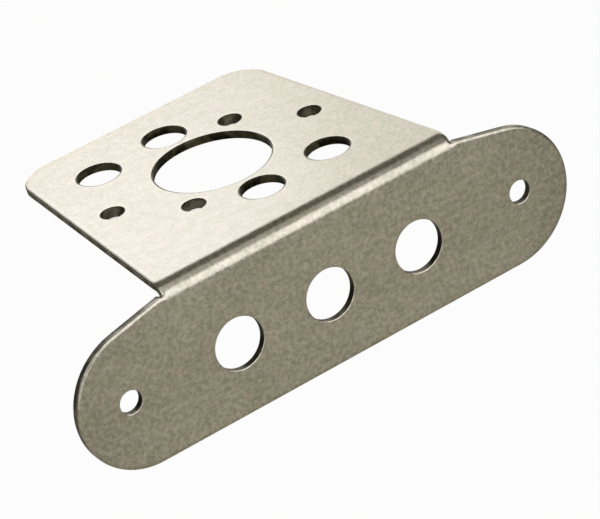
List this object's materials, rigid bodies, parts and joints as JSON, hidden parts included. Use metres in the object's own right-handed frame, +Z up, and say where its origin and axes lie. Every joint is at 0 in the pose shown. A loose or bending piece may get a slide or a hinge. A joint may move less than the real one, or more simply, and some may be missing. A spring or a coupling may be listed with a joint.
{
  "type": "stamped metal bracket",
  "caption": "Right-angle stamped sheet bracket: a round-ended wall flange with bolt and pass-through holes carries a tapered shelf pierced for a round fitting.",
  "frame": {"origin": "on the mounting face of the flange, midway between the two end bolt holes", "axes": "+X along the bend, +Y away from the wall along the shelf, +Z up towards the shelf"},
  "size_m": [0.2222, 0.127, 0.065],
  "materials": {
    "satin_stainless": "warm grey mill-finish stainless, satin and finely mottled, with darker sheared edges"
  },
  "bodies": {
    "root": {"bracket": "satin_stainless"}
  },
  "joints": []
}
